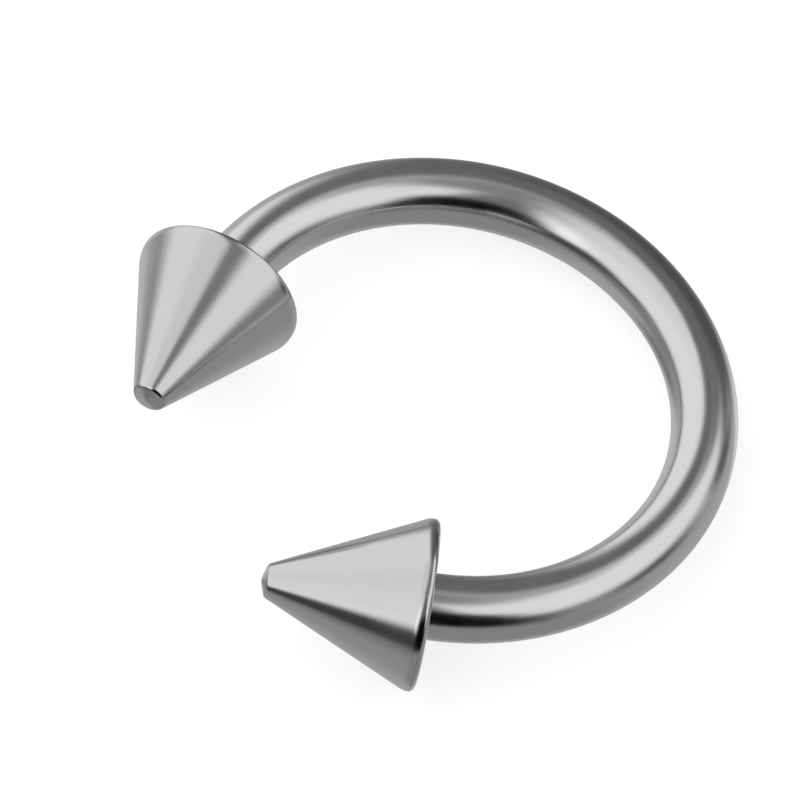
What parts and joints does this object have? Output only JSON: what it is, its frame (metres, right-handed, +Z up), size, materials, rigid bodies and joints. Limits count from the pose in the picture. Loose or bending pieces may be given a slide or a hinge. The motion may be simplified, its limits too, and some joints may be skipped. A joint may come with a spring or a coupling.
{
  "type": "horseshoe septum ring with screw-on cone spikes",
  "caption": "Open horseshoe ring of round polished steel wire with a blunt cone spike screwed on to each end, lying on its side.",
  "frame": {"origin": "middle of the part's box, on the surface that the ring lies on", "axes": "+X across the opening, -Y out through the opening, +Z up from the surface that the ring lies on"},
  "size_m": [0.0104, 0.0102, 0.0031],
  "materials": {
    "bar_steel": "tumble-polished wire with soft reflections and faint lines round the bend",
    "spike_steel": "lathe-turned and polished, with faint turned rings"
  },
  "bodies": {
    "horseshoe_bar": {"horseshoe_bar": "bar_steel"},
    "left_spike": {"left_spike": "spike_steel"},
    "right_spike": {"right_spike": "spike_steel"}
  },
  "joints": [
    {"name": "left_unscrew", "type": "slide", "parent": "horseshoe_bar", "child": "left_spike", "axis": [0.5664, -0.8172, 0.1065], "range_m": [0, 0.0022]},
    {"name": "right_unscrew", "type": "slide", "parent": "horseshoe_bar", "child": "right_spike", "axis": [-0.5664, -0.8172, 0.1065], "range_m": [0, 0.0022]}
  ]
}
